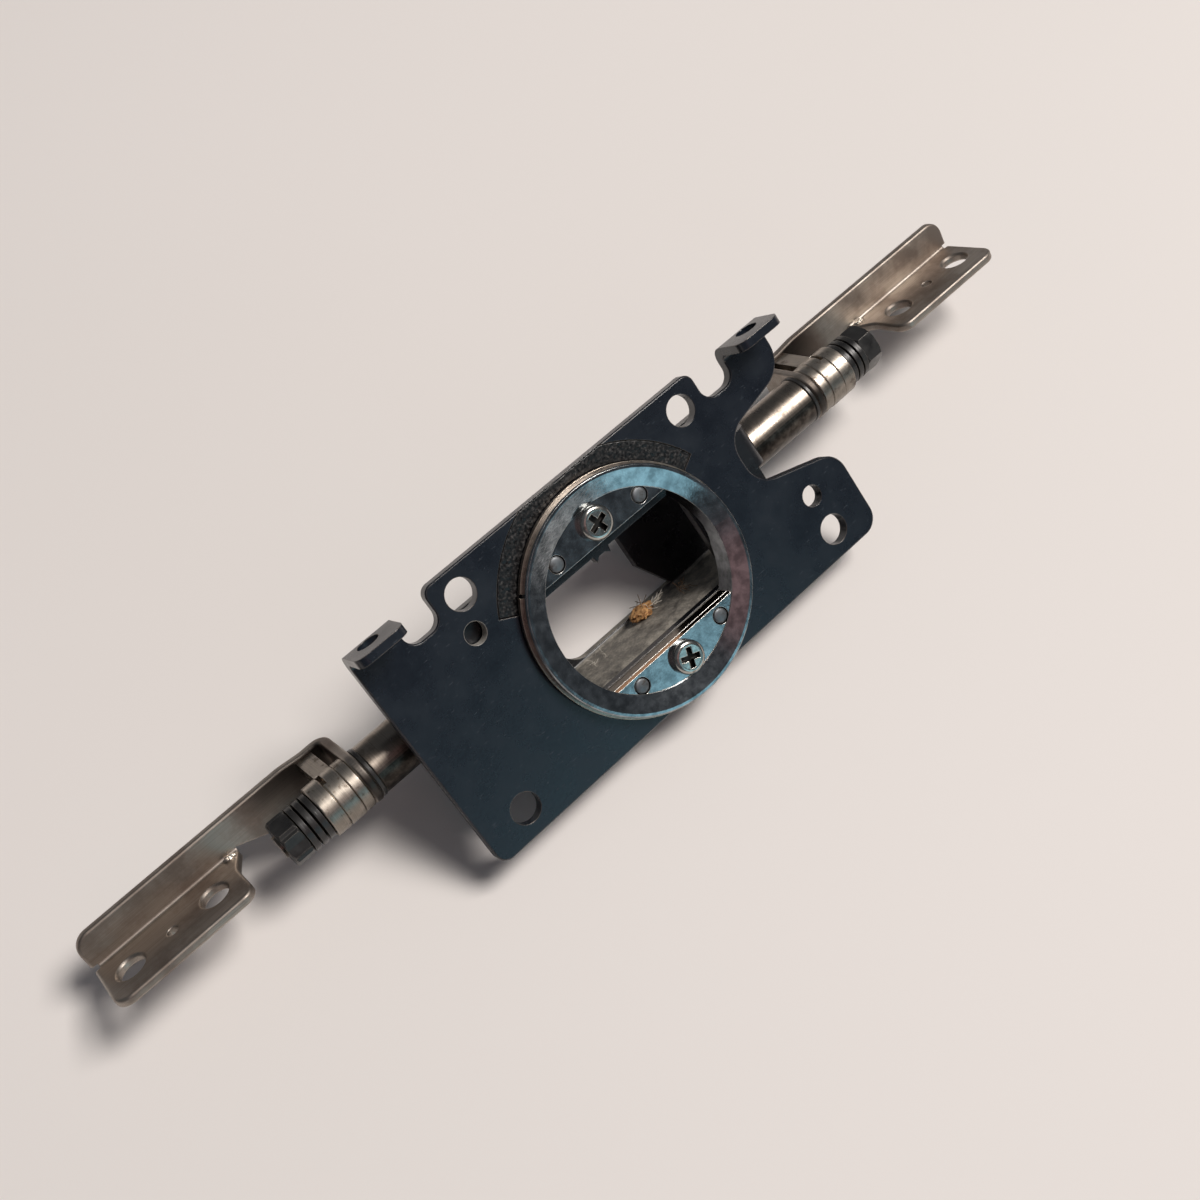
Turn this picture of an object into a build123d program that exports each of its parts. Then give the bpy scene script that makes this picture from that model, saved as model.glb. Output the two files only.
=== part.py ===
"""Swivel-and-tilt hinge pair of a convertible laptop, ring side up.

Origin on the swivel axis at the plate's upper face, X along the two tilt shafts, Y to the tabbed edge, Z up.
Millimetres and degrees throughout.
"""

import os
from math import cos, radians, sin, sqrt, tan

from build123d import *

# Clearances
RUN = 0.05
SLIP = 0.03
STOP_GAP = 0.5
LEG_GAP = 0.05
TOUCH = 0.0001

# Mounting plate
PLATE_T = 1.5
PLATE_HALF = 32.5
PLATE_BACK = 16.6
PLATE_FRONT = -14.8
FRONT_LEFT_R = 1.6
FRONT_RIGHT_R = 2.4
EDGE_BREAK = 0.15
BACK_NOTCH_W = 4.8
BACK_NOTCH_DEPTH = 2.5
BACK_NOTCH_R = 1.7
BACK_CORNER_R = 1.3
SIDE_NOTCH_DEPTH = 11.65
SIDE_NOTCH_LOW = -0.1
SIDE_NOTCH_HIGH = 6.95
SIDE_NOTCH_R = 3.7
LOBE_DROP = 3.5
LOBE_R = 3.2
NECK_RISE = 2.55
NECK_R = 4.0
REAR_HOLE_EDGE = 3.55
REAR_HOLE_DROP = 3.17
FRONT_HOLE_EDGE = 6.1
FRONT_HOLE_RISE = 3.6
SCREW_HOLE_R = 1.95
LOCATING_R = 1.4
LEFT_PEG_EDGE = 13.65
LEFT_PEG_DROP = 7.8
RIGHT_PEG_EDGE = 6.2
RIGHT_PEG_RISE = 8.9
POCKET_W = 2.55
POCKET_GAP = 0.2
POCKET_FROM = 28.5
POCKET_TO = 152.5
POCKET_DEPTH = 0.3

# Tabs bent up on the rear edge
TAB_WIDTH = 6.6
TAB_INSET = 0.1
TAB_HEIGHT = 5.7
TAB_T = 1.1
TAB_BEND = 0.4
TAB_CORNER = 1.3
TAB_HOLE_EDGE = 2.9
TAB_HOLE_DROP = 3.7
TAB_HOLE_R = 1.45

# Swivel ring and its washers
RING_R = 15.0
RING_T = 1.0
RIM_W = 0.5
RIM_BREAK = 0.15
DISH_DROP = 0.6
RING_W = 2.7
NECK_WALL = 0.9
SEGMENT_H = 4.58
SEGMENT_STEP = 0.12
CHORD_LINE_Z = 0.1
CHORD_LINE_W = 0.16
CHORD_LINE_D = 0.15
SPRING_T = 0.55
SPRING_OVER = 0.3
SPRING_SPLIT = 144.0
SPRING_SPLIT_W = 0.5
THRUST_T = 0.35
THRUST_UNDER = 0.2
LOW_THRUST_T = 0.4
LOW_THRUST_UNDER = 0.4
LUG_REACH = 0.85
LUG_SPAN = 20.0
LUG_MARGIN = 0.12
SWIVEL_RANGE = 180.0
STOP_FROM = 170.0

# Hub fasteners
HUB_SCREW_IN = 2.2
HUB_SCREW_R = 1.25
HEAD_R = 2.12
HEAD_H = 1.15
HEAD_DOME = 0.4
HEAD_ROLL = 0.7
CROSS_L = 2.6
CROSS_W = 0.7
CROSS_D = 0.75
CROSS_TURN = 20.0
SCREW_CLEAR = 0.15
SCREW_TIP = 0.5
PIN_IN = 0.99
PIN_ANGLE = 54.0
PIN_R = 0.95
PIN_HOLE_GAP = 0.14
PIN_SINK = 0.08

# Yoke
YOKE_T = 1.2
YOKE_HALF = 24.9
YOKE_BEND = 0.5
YOKE_BACK_IN = 3.4
YOKE_FRONT_IN = 1.8
YOKE_FRONT_SIDE = 2.0
EAR_FRONT = 0.95
EAR_BACK = 6.3
YOKE_BACK_HALF = 20.6
EAR_R = 4.1
WINDOW_SIDE = 0.3
WINDOW_IN = 1.75
NIB_LEFT = -1.5
NIB_RIGHT = 1.0
NIB_REACH = 0.35
NIB_TOOTH = 0.85
NIB_TOOTH_W = 0.8
NIB_TIP = 0.15

# Cable guide under the window
GUIDE_T = 1.2
GUIDE_BEND = 0.5
GUIDE_FACE_IN = 0.12
GUIDE_FLOOR = -13.8
GUIDE_FOOT_IN = 0.57
GUIDE_FLANGE_IN = 2.6
GUIDE_END_GAP = 2.7
GUIDE_FLANGE_SIDE = 3.5
GUIDE_SLOT_LEFT = -8.3
GUIDE_SLOT_RIGHT = 6.9
GUIDE_SLOT_R = 3.0
GUIDE_RELIEF = 2.7
GUIDE_RELIEF_Y = 4.6

# Tilt axis and arms, the arm drawn about its own axis and then leaned
AXIS_Y = 1.78
AXIS_Z = -8.84
ARM_LEAN = 12.66
ARM_T = 1.2
ARM_EYE_R = 3.5
ARM_EDGE_P = 3.85
WIDEN_START = 1.8
WIDEN_L = 3.0
WIDEN_R = 8.0
ARM_EDGE_R = 0.35
ARM_WALL_Q = -6.99
ARM_WALL_BEND = 0.8
ARM_END = 73.7
ARM_END_R = 2.2
FLANGE_P = -0.54
FLANGE_TOP_Q = 2.27
FLANGE_BEND = 0.4
FLANGE_START = 54.8
FLANGE_RAMP = 1.5
FLANGE_RAMP_H = 3.0
FLANGE_OUT_R = 2.0
FLANGE_IN_R = 1.7
FLANGE_RELIEF = 0.8
TAPER_START = 45.0
FLANGE_HOLE_Q = -2.39
FLANGE_HOLE_1 = 58.57
FLANGE_HOLE_2 = 70.21
FLANGE_HOLE_R = 1.75
HOLE_BREAK = 0.25
SMALL_HOLE_X = 64.44
SMALL_HOLE_R = 0.75

# Shafts and the stack on each, stations measured outward along the axis
BARREL_R = 3.3
BARREL_L = 11.7
BARREL_STEP = 0.1
BARREL_BREAK = 0.45
SPINDLE_R = 2.0
SPINDLE_FLAT = 1.5
RIVET_R = 2.8
RIVET_H = 1.0
THREAD_R = 1.5
THREAD_PROUD = 0.3
WASHER_T = 0.6
WASHER_R = 3.4
FRICTION_T = 1.4
FRICTION_R = 3.45
KEY_T = 2.2
KEY_R = 3.5
KEY_LEG_IN = 0.8
KEY_LEG_OUT = 3.0
CAM_T = 2.0
CAM_R = 3.47
CAM_CUT = 0.6
CAM_CUT_W = 2.4
CAM_CUT_TURN = 2.0
CAM_CUT_DEEP = 1.2
DISC_BREAK = 0.12
SPRING_COUNT = 6
CONE_T = 0.36
CONE_RISE = 0.16
CONE_R = 3.1
NUT_FLATS = 5.5
NUT_H = 2.5
NUT_BREAK = 0.35
NUT_TURN = -5.0
NUT_LEFT_TURN = 16.0

# Levels that follow from the sizes above
BORE_R = RING_R - RING_W
CHORD_Y = BORE_R - SEGMENT_H
NECK_R_OUT = BORE_R + NECK_WALL
LOW_THRUST_R = RING_R - LOW_THRUST_UNDER
POCKET_IN = RING_R + POCKET_GAP
POCKET_OUT = POCKET_IN + POCKET_W
HUB_SCREW_Y = BORE_R - HUB_SCREW_IN
PIN_X = (BORE_R - PIN_IN) * cos(radians(PIN_ANGLE))
PIN_Y = (BORE_R - PIN_IN) * sin(radians(PIN_ANGLE))
WINDOW_BACK = CHORD_Y - WINDOW_IN
WINDOW_HALF = BORE_R - WINDOW_SIDE
YOKE_BACK = RING_R - YOKE_BACK_IN
YOKE_FRONT = YOKE_FRONT_IN - RING_R
YOKE_FRONT_HALF = RING_R - YOKE_FRONT_SIDE
GUIDE_FACE = GUIDE_FACE_IN - CHORD_Y
GUIDE_FOOT = WINDOW_BACK - GUIDE_FOOT_IN
GUIDE_FLANGE = GUIDE_FLANGE_IN - RING_R
GUIDE_HALF = YOKE_HALF - YOKE_T - RIVET_H - GUIDE_END_GAP
GUIDE_FLANGE_HALF = RING_R - GUIDE_FLANGE_SIDE
PLATE_BORE = NECK_R_OUT + RUN
WASHER_BORE = NECK_R_OUT + 2 * RUN
FLANGE_LOW = THRUST_T + SPRING_T
RING_TOP = FLANGE_LOW + RING_T
DISH_LOW = RING_TOP - DISH_DROP
SEGMENT_TOP = DISH_LOW - SEGMENT_STEP
WEB_TOP = -PLATE_T - LOW_THRUST_T
WEB_LOW = WEB_TOP - YOKE_T
LUG_R = NECK_R_OUT + LUG_REACH
STOP_R = LUG_R + 4 * RUN
STOP_SPAN = SWIVEL_RANGE + LUG_SPAN + 2 * STOP_GAP
TAB_OUT = PLATE_BACK - TAB_INSET
TAB_BEND_Y = TAB_OUT - PLATE_T - TAB_BEND
TAB_INNER_R = TAB_BEND + PLATE_T - TAB_T
TAB_HOLE_X = PLATE_HALF - TAB_HOLE_EDGE
TAB_HOLE_Z = TAB_HEIGHT - TAB_HOLE_DROP
BACK_NOTCH_OUT = PLATE_HALF - TAB_WIDTH
BACK_NOTCH_IN = BACK_NOTCH_OUT - BACK_NOTCH_W
BACK_NOTCH_FLOOR = TAB_BEND_Y - BACK_NOTCH_DEPTH
SIDE_NOTCH_X = PLATE_HALF - SIDE_NOTCH_DEPTH
REAR_HOLE_X = BACK_NOTCH_IN - REAR_HOLE_EDGE
REAR_HOLE_Y = PLATE_BACK - REAR_HOLE_DROP
FRONT_HOLE_X = PLATE_HALF - FRONT_HOLE_EDGE
FRONT_HOLE_Y = PLATE_FRONT + FRONT_HOLE_RISE
LOCATING_LEFT = (-(PLATE_HALF - LEFT_PEG_EDGE), PLATE_BACK - LEFT_PEG_DROP)
LOCATING_RIGHT = (PLATE_HALF - RIGHT_PEG_EDGE, PLATE_FRONT + RIGHT_PEG_RISE)
BARREL_END = YOKE_HALF + BARREL_L
EYE_IN = BARREL_END + WASHER_T
EYE_OUT = EYE_IN + ARM_T
FRICTION_OUT = EYE_OUT + FRICTION_T
KEY_OUT = FRICTION_OUT + KEY_T
CAM_OUT = KEY_OUT + CAM_T
CONE_PITCH = CONE_T + CONE_RISE
SPRINGS_OUT = CAM_OUT + SPRING_COUNT * CONE_PITCH
NUT_OUT = SPRINGS_OUT + NUT_H
FLANGE_OUT_P = FLANGE_P - ARM_T
ARM_LOW_Q = ARM_WALL_Q - ARM_T


def round_corner(sketch, point, radius):
    """Rounds the outline corner nearest to a point."""
    corner = sketch.vertices().sort_by_distance(Vector(point[0], point[1], 0))[0]
    fillet(corner, radius)


def sector(inner, outer, start, span):
    """Ring sector in the sketch being built, from a start angle over a span below a full turn."""
    steps = 24
    reach = outer / cos(radians(span / steps / 2)) + SPRING_OVER
    turns = [radians(start + span * i / steps) for i in range(steps + 1)]
    rays = [(reach * cos(turn), reach * sin(turn)) for turn in turns]
    Circle(outer)
    Circle(inner, mode=Mode.SUBTRACT)
    Polygon((0, 0), *rays, align=None, mode=Mode.INTERSECT)


def double_d(radius, flat):
    """Round bore or spindle section with two parallel flats, in the sketch being built."""
    Circle(radius)
    Rectangle(2 * radius, 2 * flat, mode=Mode.INTERSECT)


def on_shaft(x):
    """Sketch plane square to the tilt shafts at a station, its own x along Y and its own y along Z."""
    return Plane(origin=(x, AXIS_Y, AXIS_Z), x_dir=(0, 1, 0), z_dir=(1, 0, 0))


def lies_on(edge, distance):
    """True where both ends and the middle of an edge are at no distance from a plane."""
    return all(abs(distance(edge.position_at(t))) < TOUCH for t in (0.0, 0.5, 1.0))


def is_bore(edge, radius):
    """True for a round edge of a given radius."""
    return edge.geom_type == GeomType.CIRCLE and abs(edge.radius - radius) < TOUCH


def arm_rim(edge):
    """True for the rolled rims of an arm: the strip's two sides, the eye, the wall's end and the flange."""
    middle = edge.center()
    across = edge.geom_type == GeomType.LINE and edge.length < ARM_T + TOUCH
    side = lies_on(edge, lambda v: abs(v.Y) - ARM_EYE_R) and not across
    eye = lies_on(edge, lambda v: (v.X - EYE_IN) * (v.X - EYE_OUT)) and is_bore(edge, ARM_EYE_R)
    on_wall = lies_on(edge, lambda v: (v.Z - ARM_WALL_Q) * (v.Z - ARM_LOW_Q))
    side = side or (on_wall and middle.Y > ARM_EYE_R - TOUCH)
    wall_end = on_wall and middle.X > ARM_END - ARM_END_R and middle.Y > FLANGE_P + FLANGE_BEND + TOUCH
    on_flange = lies_on(edge, lambda v: (v.Y - FLANGE_P) * (v.Y - FLANGE_OUT_P))
    standing = middle.Z > ARM_WALL_Q + FLANGE_BEND + TOUCH
    hole = is_bore(edge, FLANGE_HOLE_R) or is_bore(edge, SMALL_HOLE_R)
    return side or eye or wall_end or (on_flange and standing and not hole)


LEAN = Location((0, AXIS_Y, AXIS_Z), (ARM_LEAN, 0, 0))

# Mounting plate with its two standing tabs
with BuildPart() as mounting_plate:
    lobe_y = SIDE_NOTCH_LOW - LOBE_DROP
    neck_y = SIDE_NOTCH_HIGH + NECK_RISE
    with BuildSketch(Plane.XY.offset(-PLATE_T)) as plate_outline:
        with BuildLine():
            Polyline(
                (-PLATE_HALF, PLATE_FRONT),
                (PLATE_HALF, PLATE_FRONT),
                (PLATE_HALF, lobe_y),
                (SIDE_NOTCH_X, SIDE_NOTCH_LOW),
                (SIDE_NOTCH_X, SIDE_NOTCH_HIGH),
                (PLATE_HALF, neck_y),
                (PLATE_HALF, TAB_BEND_Y),
                (BACK_NOTCH_OUT, TAB_BEND_Y),
                (BACK_NOTCH_OUT, BACK_NOTCH_FLOOR),
                (BACK_NOTCH_IN, BACK_NOTCH_FLOOR),
                (BACK_NOTCH_IN, PLATE_BACK),
                (-BACK_NOTCH_IN, PLATE_BACK),
                (-BACK_NOTCH_IN, BACK_NOTCH_FLOOR),
                (-BACK_NOTCH_OUT, BACK_NOTCH_FLOOR),
                (-BACK_NOTCH_OUT, TAB_BEND_Y),
                (-PLATE_HALF, TAB_BEND_Y),
                close=True,
            )
        make_face()
        round_corner(plate_outline, (-PLATE_HALF, PLATE_FRONT), FRONT_LEFT_R)
        round_corner(plate_outline, (PLATE_HALF, PLATE_FRONT), FRONT_RIGHT_R)
        round_corner(plate_outline, (PLATE_HALF, lobe_y), LOBE_R)
        round_corner(plate_outline, (SIDE_NOTCH_X, SIDE_NOTCH_LOW), SIDE_NOTCH_R)
        round_corner(plate_outline, (SIDE_NOTCH_X, SIDE_NOTCH_HIGH), SIDE_NOTCH_R)
        round_corner(plate_outline, (PLATE_HALF, neck_y), NECK_R)
        for side in (-1, 1):
            round_corner(plate_outline, (side * BACK_NOTCH_OUT, BACK_NOTCH_FLOOR), BACK_NOTCH_R)
            round_corner(plate_outline, (side * BACK_NOTCH_IN, BACK_NOTCH_FLOOR), BACK_NOTCH_R)
            round_corner(plate_outline, (side * BACK_NOTCH_IN, PLATE_BACK), BACK_CORNER_R)
    extrude(amount=PLATE_T)
    top_rim = mounting_plate.faces().sort_by(Axis.Z)[-1].outer_wire().edges()
    necks = [e for e in top_rim if e.center().Y > TAB_BEND_Y - RUN and abs(e.center().X) > BACK_NOTCH_IN]
    chamfer([edge for edge in top_rim if edge not in necks], EDGE_BREAK)
    with BuildSketch(Plane.XY.offset(-PLATE_T)):
        Circle(PLATE_BORE)
        with Locations((-REAR_HOLE_X, REAR_HOLE_Y), (REAR_HOLE_X, REAR_HOLE_Y)):
            Circle(SCREW_HOLE_R)
        with Locations((-FRONT_HOLE_X, FRONT_HOLE_Y), (FRONT_HOLE_X, FRONT_HOLE_Y)):
            Circle(SCREW_HOLE_R)
        with Locations(LOCATING_LEFT, LOCATING_RIGHT):
            Circle(LOCATING_R)
    extrude(amount=PLATE_T, mode=Mode.SUBTRACT)
    with BuildSketch(Plane.XY.offset(-PLATE_T)):
        sector(PLATE_BORE - RUN, STOP_R, STOP_FROM, STOP_SPAN)
    extrude(amount=PLATE_T, mode=Mode.SUBTRACT)
    with BuildSketch(Plane.XY.offset(-POCKET_DEPTH)):
        sector(POCKET_IN, POCKET_OUT, POCKET_FROM, POCKET_TO - POCKET_FROM)
    extrude(amount=POCKET_DEPTH, mode=Mode.SUBTRACT)
    for tab_from in (-PLATE_HALF, BACK_NOTCH_OUT):
        with BuildSketch(Plane.YZ.offset(tab_from)):
            with BuildLine():
                outer_r = TAB_BEND + PLATE_T
                Polyline(
                    (TAB_BEND_Y + TAB_INNER_R, TAB_INNER_R),
                    (TAB_BEND_Y + TAB_INNER_R, TAB_HEIGHT),
                    (TAB_OUT, TAB_HEIGHT),
                    (TAB_OUT, TAB_BEND),
                )
                CenterArc((TAB_BEND_Y, TAB_BEND), outer_r, 270, 90)
                Line((TAB_BEND_Y, TAB_BEND - outer_r), (TAB_BEND_Y, 0))
                CenterArc((TAB_BEND_Y, TAB_INNER_R), TAB_INNER_R, 270, 90)
            make_face()
        extrude(amount=TAB_WIDTH)
    across_tabs = mounting_plate.edges().filter_by(Axis.Y)
    fillet([edge for edge in across_tabs if edge.center().Z > TAB_HEIGHT - RUN], TAB_CORNER)
    tab_middle = TAB_OUT - PLATE_T / 2
    with Locations((-TAB_HOLE_X, tab_middle, TAB_HOLE_Z), (TAB_HOLE_X, tab_middle, TAB_HOLE_Z)):
        Cylinder(TAB_HOLE_R, 2 * PLATE_T, rotation=(90, 0, 0), mode=Mode.SUBTRACT)

# Swivel ring: dished flange, neck, two chord segments and the stop lug
with BuildPart() as swivel_ring:
    with BuildSketch(Plane.XZ):
        with BuildLine():
            Polyline(
                (BORE_R, WEB_TOP),
                (NECK_R_OUT, WEB_TOP),
                (NECK_R_OUT, FLANGE_LOW),
                (RING_R, FLANGE_LOW),
                (RING_R, RING_TOP - RIM_BREAK),
                (RING_R - RIM_BREAK, RING_TOP),
                (RING_R - RIM_W, RING_TOP),
                (BORE_R, DISH_LOW),
                close=True,
            )
        make_face()
    revolve(axis=Axis.Z)
    with BuildSketch(Plane.XY.offset(WEB_TOP)):
        Circle(BORE_R + NECK_WALL / 2)
        Rectangle(2 * RING_R, 2 * CHORD_Y, mode=Mode.SUBTRACT)
        with Locations((0, HUB_SCREW_Y), (0, -HUB_SCREW_Y)):
            Circle(HUB_SCREW_R + SCREW_CLEAR, mode=Mode.SUBTRACT)
        with Locations((PIN_X, PIN_Y), (-PIN_X, PIN_Y), (PIN_X, -PIN_Y), (-PIN_X, -PIN_Y)):
            Circle(PIN_R + PIN_HOLE_GAP, mode=Mode.SUBTRACT)
    extrude(amount=SEGMENT_TOP - WEB_TOP)
    with Locations((0, -CHORD_Y, CHORD_LINE_Z)):
        Box(2 * RING_R, 2 * CHORD_LINE_D, CHORD_LINE_W, mode=Mode.SUBTRACT)
    with BuildSketch(Plane.XY.offset(-PLATE_T + LUG_MARGIN)):
        sector(NECK_R_OUT - NECK_WALL / 2, LUG_R, STOP_FROM + STOP_GAP, LUG_SPAN)
    extrude(amount=PLATE_T - 2 * LUG_MARGIN)

# Split spring washer and the thrust washers
with BuildPart() as spring_washer:
    with BuildSketch(Plane.XY.offset(THRUST_T)):
        Circle(RING_R + SPRING_OVER)
        Circle(WASHER_BORE, mode=Mode.SUBTRACT)
        with Locations(Location((0, 0, 0), (0, 0, SPRING_SPLIT))):
            with Locations((RING_R, 0)):
                Rectangle(RING_R, SPRING_SPLIT_W, mode=Mode.SUBTRACT)
    extrude(amount=SPRING_T)

with BuildPart() as thrust_washer_upper:
    with BuildSketch():
        Circle(RING_R - THRUST_UNDER)
        Circle(WASHER_BORE, mode=Mode.SUBTRACT)
    extrude(amount=THRUST_T)

with BuildPart() as thrust_washer_lower:
    with BuildSketch(Plane.XY.offset(WEB_TOP)):
        Circle(LOW_THRUST_R)
        Circle(WASHER_BORE, mode=Mode.SUBTRACT)
    extrude(amount=LOW_THRUST_T)

# Hub screws with a cross recess
with BuildPart() as hub_screws:
    for side in (1, -1):
        with BuildSketch(Plane(origin=(0, side * HUB_SCREW_Y, 0), x_dir=(1, 0, 0), z_dir=(0, -1, 0))):
            with BuildLine():
                head_top = SEGMENT_TOP + HEAD_H
                tip = WEB_LOW - SCREW_TIP
                shank = HUB_SCREW_R - SLIP
                shoulder = head_top - HEAD_DOME
                Polyline(
                    (0, head_top),
                    (0, tip),
                    (shank, tip),
                    (shank, SEGMENT_TOP),
                    (HEAD_R, SEGMENT_TOP),
                    (HEAD_R, shoulder),
                )
                roll_in = HEAD_R - HEAD_ROLL
                roll_mid = (roll_in + HEAD_ROLL * sin(radians(45)), shoulder + HEAD_DOME * sin(radians(45)))
                ThreePointArc((HEAD_R, shoulder), roll_mid, (roll_in, head_top))
                Line((roll_in, head_top), (0, head_top))
            make_face()
        revolve(axis=Axis((0, side * HUB_SCREW_Y, 0), (0, 0, 1)))
        with Locations(Location((0, side * HUB_SCREW_Y, head_top), (0, 0, side * CROSS_TURN))):
            Box(CROSS_L, CROSS_W, 2 * CROSS_D, mode=Mode.SUBTRACT)
            Box(CROSS_W, CROSS_L, 2 * CROSS_D, mode=Mode.SUBTRACT)

with BuildPart() as hub_pins:
    pin_top = SEGMENT_TOP - PIN_SINK
    with BuildSketch(Plane.XY.offset(WEB_LOW)):
        with Locations((PIN_X, PIN_Y), (-PIN_X, PIN_Y), (PIN_X, -PIN_Y), (-PIN_X, -PIN_Y)):
            Circle(PIN_R - SLIP)
    extrude(amount=pin_top - WEB_LOW)

# Yoke: web with its window, and two ears turned down
with BuildPart() as yoke:
    bend_in = YOKE_HALF - YOKE_T - YOKE_BEND
    bend_z = WEB_LOW - YOKE_BEND
    front_slope = EAR_FRONT - (YOKE_HALF - bend_in)
    with BuildSketch(Plane.XY.offset(WEB_LOW)):
        with BuildLine():
            Polyline(
                (-YOKE_FRONT_HALF, YOKE_FRONT),
                (YOKE_FRONT_HALF, YOKE_FRONT),
                (bend_in, front_slope),
                (bend_in, EAR_BACK),
                (YOKE_BACK_HALF, YOKE_BACK),
                (-YOKE_BACK_HALF, YOKE_BACK),
                (-bend_in, EAR_BACK),
                (-bend_in, front_slope),
                close=True,
            )
        make_face()
        with Locations((0, (WINDOW_BACK + GUIDE_FACE) / 2)):
            Rectangle(2 * WINDOW_HALF, WINDOW_BACK - GUIDE_FACE, mode=Mode.SUBTRACT)
        Polygon(
            (NIB_LEFT, WINDOW_BACK + NIB_REACH),
            (NIB_LEFT, WINDOW_BACK),
            (NIB_LEFT + NIB_TIP, WINDOW_BACK - NIB_TOOTH),
            (NIB_LEFT + NIB_TOOTH_W, WINDOW_BACK - NIB_REACH),
            (NIB_RIGHT - NIB_TOOTH_W, WINDOW_BACK - NIB_REACH),
            (NIB_RIGHT - NIB_TIP, WINDOW_BACK - NIB_TOOTH),
            (NIB_RIGHT, WINDOW_BACK),
            (NIB_RIGHT, WINDOW_BACK + NIB_REACH),
            align=None,
        )
        with Locations((0, HUB_SCREW_Y), (0, -HUB_SCREW_Y)):
            Circle(HUB_SCREW_R, mode=Mode.SUBTRACT)
        with Locations((PIN_X, PIN_Y), (-PIN_X, PIN_Y), (PIN_X, -PIN_Y), (-PIN_X, -PIN_Y)):
            Circle(PIN_R, mode=Mode.SUBTRACT)
    extrude(amount=YOKE_T)
    for side in (-1, 1):
        with BuildSketch(Plane(origin=(0, EAR_BACK, 0), x_dir=(1, 0, 0), z_dir=(0, -1, 0))):
            with BuildLine():
                inner_r = YOKE_BEND
                outer_r = YOKE_BEND + YOKE_T
                start = 0 if side > 0 else 90
                CenterArc((side * bend_in, bend_z), outer_r, start, 90)
                Line((side * bend_in, WEB_TOP), (side * bend_in, WEB_LOW))
                CenterArc((side * bend_in, bend_z), inner_r, start, 90)
                Line((side * (bend_in + inner_r), bend_z), (side * YOKE_HALF, bend_z))
            make_face()
        extrude(amount=EAR_BACK - EAR_FRONT)
        with BuildSketch(Plane.YZ.offset(side * YOKE_HALF)):
            with BuildLine():
                Polyline(
                    (EAR_FRONT, bend_z),
                    (EAR_BACK, bend_z),
                    (AXIS_Y + EAR_R, AXIS_Z),
                    (AXIS_Y - EAR_R, AXIS_Z),
                    close=True,
                )
            make_face()
            with Locations((AXIS_Y, AXIS_Z)):
                Circle(EAR_R)
        extrude(amount=-side * YOKE_T)
        with BuildSketch(on_shaft(side * YOKE_HALF)):
            double_d(SPINDLE_R + SLIP, SPINDLE_FLAT + SLIP)
        extrude(amount=-side * YOKE_T, mode=Mode.SUBTRACT)

# Cable guide: flange against the web, wall under the window's front edge, floor with the cable slot
with BuildPart() as cable_guide:
    with BuildSketch(Plane.YZ.offset(-GUIDE_HALF)) as guide_section:
        with BuildLine():
            Polyline(
                (GUIDE_FLANGE, WEB_LOW),
                (GUIDE_FACE, WEB_LOW),
                (GUIDE_FACE, GUIDE_FLOOR),
                (GUIDE_FOOT, GUIDE_FLOOR),
                (GUIDE_FOOT, GUIDE_FLOOR - GUIDE_T),
                (GUIDE_FACE - GUIDE_T, GUIDE_FLOOR - GUIDE_T),
                (GUIDE_FACE - GUIDE_T, WEB_LOW - GUIDE_T),
                (GUIDE_FLANGE, WEB_LOW - GUIDE_T),
                close=True,
            )
        make_face()
        round_corner(guide_section, (GUIDE_FACE, WEB_LOW), GUIDE_BEND + GUIDE_T)
        round_corner(guide_section, (GUIDE_FACE - GUIDE_T, GUIDE_FLOOR - GUIDE_T), GUIDE_BEND + GUIDE_T)
        round_corner(guide_section, (GUIDE_FACE, GUIDE_FLOOR), GUIDE_BEND)
        round_corner(guide_section, (GUIDE_FACE - GUIDE_T, WEB_LOW - GUIDE_T), GUIDE_BEND)
    extrude(amount=2 * GUIDE_HALF)
    for side in (-1, 1):
        trim = GUIDE_HALF - GUIDE_FLANGE_HALF
        trim_y = (GUIDE_FLANGE + GUIDE_FACE - GUIDE_T - GUIDE_BEND) / 2
        trim_w = GUIDE_FACE - GUIDE_T - GUIDE_BEND - GUIDE_FLANGE
        with Locations((side * (GUIDE_FLANGE_HALF + trim / 2), trim_y, WEB_LOW - GUIDE_T / 2)):
            Box(trim, trim_w, 2 * GUIDE_T, mode=Mode.SUBTRACT)
    with BuildSketch(Plane.XY.offset(GUIDE_FLOOR - GUIDE_T)) as slot:
        slot_front = GUIDE_FACE + GUIDE_BEND
        with BuildLine():
            Polyline(
                (GUIDE_SLOT_LEFT, slot_front),
                (GUIDE_SLOT_RIGHT + GUIDE_RELIEF, slot_front),
                (GUIDE_SLOT_RIGHT, slot_front + GUIDE_RELIEF_Y),
                (GUIDE_SLOT_RIGHT, GUIDE_FOOT + GUIDE_T),
                (GUIDE_SLOT_LEFT, GUIDE_FOOT + GUIDE_T),
                close=True,
            )
        make_face()
        round_corner(slot, (GUIDE_SLOT_LEFT, slot_front), GUIDE_SLOT_R)
    extrude(amount=GUIDE_T + GUIDE_BEND, mode=Mode.SUBTRACT)
    with Locations((0, -HUB_SCREW_Y, WEB_LOW - GUIDE_T / 2)):
        Cylinder(HUB_SCREW_R + SCREW_CLEAR, 2 * GUIDE_T, mode=Mode.SUBTRACT)

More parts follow.
